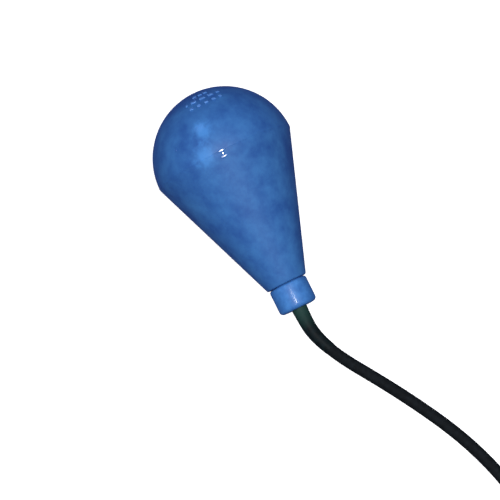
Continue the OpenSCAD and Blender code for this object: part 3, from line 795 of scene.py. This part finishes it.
from_centre = add(tree, "VectorMath", {0: mm, 1: seam_centre / MM}, operation="SUBTRACT")
far = add(tree, "VectorMath", {0: from_centre.outputs["Vector"]}, operation="LENGTH")
height = add(tree, "VectorMath", {0: from_centre.outputs["Vector"], 1: along},
    operation="DOT_PRODUCT")
key_at = LAY_DOWN @ KEY_TURN @ Vector((BALL_R, 0, KEY_LONG / 2)) / MM
off_key = add(tree, "VectorMath", {0: mm, 1: key_at}, operation="DISTANCE")
polished = add(tree, "MapRange", {"Value": off_key.outputs["Value"], "From Min": SHINE_TO,
    "From Max": DULL_FROM, "To Min": 1, "To Max": gloss["Coat_Weight"]})
# Whatever stands proud of the ball gets a paler blue.
raised_tops = add(tree, "MapRange", {"Value": far.outputs["Value"], "From Min": BALL_R / MM + PALE_FROM,
    "From Max": BALL_R / MM + PALE_FULL})
on_ball = add(tree, "Math", {0: height.outputs["Value"], 1: 0}, operation="LESS_THAN")
proud = add(tree, "Math", {0: raised_tops.outputs["Result"], 1: on_ball.outputs["Value"]},
    operation="MULTIPLY")
paler = add(tree, "Mix", {"Factor": proud.outputs["Value"], "A": colour.outputs["Result"],
    "B": linear("#6298DE")}, data_type="RGBA")
tree.links.new(polished.outputs["Result"], bsdf.inputs["Coat Weight"])
ragged = add(tree, "TexNoise", {"Vector": mm, "Scale": 1 / 6, "Detail": 4, "Roughness": 0.6})
shade = paler
# Painted highlights: each patch mixes a lighter blue into the colour, fraying at its edge.
for tilt, turn, reach in PAINTED_HIGHLIGHTS:
    off = add(tree, "VectorMath", {0: mm, 1: ball_place(tilt, turn) / MM}, operation="DISTANCE")
    frayed = add(tree, "Math", {0: ragged.outputs["Fac"], 1: WANDER, 2: off.outputs["Value"]},
        operation="MULTIPLY_ADD")
    near = add(tree, "MapRange", {"Value": frayed.outputs["Value"], "From Min": WANDER / 2,
        "From Max": WANDER / 2 + reach, "To Min": HIGHLIGHT_STRENGTH, "To Max": 0},
        interpolation_type="SMOOTHSTEP")
    shade = add(tree, "Mix", {"Factor": near.outputs["Result"], "A": shade.outputs["Result"],
        "B": linear("#5095DC")}, data_type="RGBA")
tree.links.new(shade.outputs["Result"], bsdf.inputs["Base Color"])

# %% [markdown]
# ## Rubbers and the cores' insulation
# The cable's sheath is extruded rubber with a dull skin. It picks up grey bloom and fine scuffs,
# which show as paler, rougher patches. The seal, the relief and the stops are moulded EPDM
# rubber, a little smoother. The cores' insulation is soft PVC. Rubber's index of refraction is
# about 1.52 and PVC's about 1.53. Where the relief leaves the nut, a green-grey painted sheen
# lies on it and fades out along it.

# %% Rubber sheath, moulded rubber and insulation
def rubber(name, dark, bloom, ior, roughness, scuff=3.0, grit=0.35, depth=0.02):
    """A dark skin with patches of bloom. Sizes are in millimetres."""
    tree, bsdf, mm = blank(name, IOR=ior, Specular_IOR_Level=0.12)
    patches = add(tree, "TexNoise", {"Vector": mm, "Scale": 1 / scuff, "Detail": 7,
        "Roughness": 0.65})
    faded = add(tree, "MapRange", {"Value": patches.outputs["Fac"], "From Min": 0.42,
        "From Max": 0.78})
    colour = add(tree, "Mix", {"Factor": faded.outputs["Result"], "A": linear(dark),
        "B": linear(bloom)}, data_type="RGBA")
    worn = add(tree, "MapRange", {"Value": patches.outputs["Fac"], "From Min": 0.3,
        "From Max": 0.75, "To Min": roughness - 0.05, "To Max": roughness + 0.13})
    skin = add(tree, "TexNoise", {"Vector": mm, "Scale": 1 / grit, "Detail": 3})
    bumps = add(tree, "Bump", {"Height": skin.outputs["Fac"], "Distance": depth * MM,
        "Strength": 1})
    connect(tree, bsdf, colour, worn, bumps)
    return tree, bsdf, mm, colour


rubber("cable_rubber", "#0E1114", "#1D2226", 1.52, 0.76)
tree, bsdf, mm, colour = rubber("epdm_rubber", "#0A1113", "#18272A", 1.52, 0.6, scuff=4.0,
    grit=0.5, depth=0.012)
# A painted sheen: near the nut's mouth the relief's colour turns green-grey, fading with distance.
SHEEN_FULL, SHEEN_GONE = 4, 17
nut_mouth = (seam_centre + NUT_END * along) / MM
off_nut = add(tree, "VectorMath", {0: mm, 1: nut_mouth}, operation="DISTANCE")
painted_sheen = add(tree, "MapRange", {"Value": off_nut.outputs["Value"], "From Min": SHEEN_FULL,
    "From Max": SHEEN_GONE, "To Min": 1, "To Max": 0})
sheen_coloured = add(tree, "Mix", {"Factor": painted_sheen.outputs["Result"], "A": colour.outputs["Result"],
    "B": linear("#26453F")}, data_type="RGBA")
tree.links.new(sheen_coloured.outputs["Result"], bsdf.inputs["Base Color"])
rubber("core_brown", "#5A3218", "#6E4226", 1.53, 0.38, scuff=2.0, grit=0.3, depth=0.008)
rubber("core_black", "#141415", "#242527", 1.53, 0.38, scuff=2.0, grit=0.3, depth=0.008)
rubber("core_blue", "#1E56A8", "#2C69BC", 1.53, 0.38, scuff=2.0, grit=0.3, depth=0.008)
print(len(materials), "materials so far")

# %% [markdown]
# ## Metals
# The ballast is cast iron, dark with the grain of the sand mould. The screws, pin, lever and
# weight are steel with a bright zinc plate, whose soft blue-grey clouds come from the chromate.
# The terminals and rivet are brass, the moving blade is spring bronze, and the receptacles and
# ferrules are tinned brass. A metal needs no index of refraction: its colour is its reflection.

# %% One function for every metal
def metal(name, dark, light, roughness, spread, cloud, grain, depth):
    """Two close tones in clouds, and a grain that also changes the polish. Sizes in millimetres."""
    tree, bsdf, mm = blank(name, Metallic=1)
    clouds = add(tree, "TexNoise", {"Vector": mm, "Scale": 1 / cloud, "Detail": 5,
        "Roughness": 0.6})
    colour = add(tree, "Mix", {"Factor": clouds.outputs["Fac"], "A": linear(dark),
        "B": linear(light)}, data_type="RGBA")
    speck = add(tree, "TexNoise", {"Vector": mm, "Scale": 1 / grain, "Detail": 4})
    polish = add(tree, "MapRange", {"Value": speck.outputs["Fac"], "From Min": 0.3, "From Max": 0.7,
        "To Min": roughness - spread, "To Max": roughness + spread})
    bumps = add(tree, "Bump", {"Height": speck.outputs["Fac"], "Distance": depth * MM,
        "Strength": 1})
    connect(tree, bsdf, colour, polish, bumps)


metal("cast_iron", "#3A3937", "#5A5854", 0.62, 0.12, 3.0, 0.6, 0.10)
metal("zinc_plated_steel", "#A9AFB6", "#C6CBD0", 0.30, 0.08, 1.5, 0.3, 0.005)
metal("brass", "#A88343", "#C9A65E", 0.26, 0.07, 1.2, 0.25, 0.004)
metal("spring_bronze", "#9A6A42", "#B98657", 0.24, 0.06, 1.0, 0.25, 0.003)
metal("tinned_brass", "#B4B3AE", "#D0CFCA", 0.34, 0.09, 0.9, 0.25, 0.006)
print(len(materials), "materials so far")

# %% [markdown]
# ## The ties' fabric
# A hook-and-loop tie is woven nylon with a nap of tiny loops. Its threads run along and across the
# strap, so the weave reads the strap's own UV map, which holds the distances across and along it
# in metres. Real threads are about 0.3 mm apart, and they are drawn 0.7 mm apart so that they show.

# %% Woven strap
THREAD = 0.7 * MM
tree, bsdf, mm = blank("tie_fabric", IOR=1.53, Sheen_Weight=0.45, Sheen_Roughness=0.5)
weave = add(tree, "UVMap", {}, uv_map="strap").outputs["UV"]
ribs = add(tree, "TexWave", {"Vector": weave, "Scale": 1 / THREAD / 3, "Distortion": 0.3},
    wave_type="BANDS", bands_direction="X")
weft = add(tree, "TexWave", {"Vector": weave, "Scale": 1 / THREAD / 3, "Distortion": 0.3},
    wave_type="BANDS", bands_direction="Y")
crossing = add(tree, "Math", {0: ribs.outputs["Fac"], 1: weft.outputs["Fac"]}, operation="MULTIPLY")
nap = add(tree, "TexNoise", {"Vector": mm, "Scale": 1 / 0.5, "Detail": 5, "Roughness": 0.7})
relief_map = add(tree, "Math", {0: crossing.outputs["Value"], 1: nap.outputs["Fac"]},
    operation="ADD")
shade = add(tree, "Mix", {"Factor": nap.outputs["Fac"], "A": linear("#0F1012"),
    "B": linear("#2E3034")}, data_type="RGBA")
dull = add(tree, "MapRange", {"Value": nap.outputs["Fac"], "To Min": 0.75, "To Max": 0.95})
raise_it = add(tree, "Bump", {"Height": relief_map.outputs["Value"], "Distance": 0.18 * MM,
    "Strength": 0.8})
connect(tree, bsdf, shade, dull, raise_it)

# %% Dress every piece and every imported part
for piece in pieces.values():
    piece.data.materials.clear()
    piece.data.materials.append(materials[piece["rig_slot"]])
slot_of = {part["node"]: part["material_slot"] for part in frame["record"]["subparts"]}
for name, node in frame["nodes"].items():
    node.data.materials.clear()
    node.data.materials.append(materials[slot_of[name]])
print("dressed", len(pieces), "pieces and", len(frame["nodes"]), "packed parts")

# %% [markdown]
# ## The floor and the light
# The float lies on a plain pale sheet that curves up far away, so that no edge of it shows. The
# sheet glows a little, and it neither lights the float nor shows in it, so the blue stays clean.
# One broad soft box shines from just behind the camera, and a small lamp beside it gives the tight
# glints that show where the plastic turns. A weak bluish window stands beyond the ball, and a faint
# bluish world fills the shadows. Blender's Standard view keeps the colours as they are.

# %% Lay the floor
FLOOR_R, SWEEP_R, FLOOR_TOP = 4, 1.5, 7
tree, bsdf, mm = blank("paper", Roughness=0.9, IOR=1.45, Emission_Color=linear("#FFFFFF"),
    Emission_Strength=0.8)
fibres = add(tree, "TexNoise", {"Vector": mm, "Scale": 1 / 4, "Detail": 5})
tone = add(tree, "Mix", {"Factor": fibres.outputs["Fac"], "A": linear("#DADAD9"),
    "B": linear("#DFDFDE")}, data_type="RGBA")
tree.links.new(tone.outputs["Result"], bsdf.inputs["Base Color"])

profile = [(0, 0), (FLOOR_R, 0)] + arc((FLOOR_R, SWEEP_R), SWEEP_R, -90, 0, 12)
sweep = turned(profile + [(FLOOR_R + SWEEP_R, FLOOR_TOP)], 72, closed=False)
bmesh.ops.reverse_faces(sweep, faces=sweep.faces)
floor_mesh = bpy.data.meshes.new("floor")
sweep.to_mesh(floor_mesh)
sweep.free()
floor_mesh.shade_smooth()
floor = bpy.data.objects.new("floor", floor_mesh)
floor.data.materials.append(materials["paper"])
floor.visible_diffuse = floor.visible_glossy = False
bpy.context.collection.objects.link(floor)

# %% Hang the lights
def area_light(name, place, aim, size, watts, colour="#FFFFFF"):
    """A round soft box at a place, turned to face another."""
    data = bpy.data.lights.new(name, "AREA")
    data.shape, data.size, data.energy, data.color = "DISK", size, watts, linear(colour)[:3]
    lamp = bpy.data.objects.new(name, data)
    lamp.location = place
    lamp.rotation_mode = "QUATERNION"
    lamp.rotation_quaternion = (aim - place).to_track_quat("-Z", "Y")
    lamp.visible_camera = False
    bpy.context.collection.objects.link(lamp)


aim = Vector((0, 0, 0.03))
BOX_AWAY, LAMP_AWAY, BESIDE = 1.5, 1.35, 0.02
window = Vector((-0.642, -0.303, 0.703))
soft_box = aim + BOX_AWAY * back - BESIDE * right + BESIDE * up
area_light("soft_box", soft_box, aim, size=0.5, watts=13.5)
area_light("lamp", aim + LAMP_AWAY * back + BESIDE * right, aim, size=0.05, watts=6)
area_light("window", aim + BOX_AWAY * window, aim, size=0.34, watts=2.0, colour="#90B8FF")
world = bpy.data.worlds.new("world")
world.use_nodes = True
backdrop = world.node_tree.nodes["Background"]
backdrop.inputs["Color"].default_value = linear("#B4C8FF")
backdrop.inputs["Strength"].default_value = 0.13
bpy.context.scene.world = world
bpy.context.scene.view_settings.view_transform = "Standard"
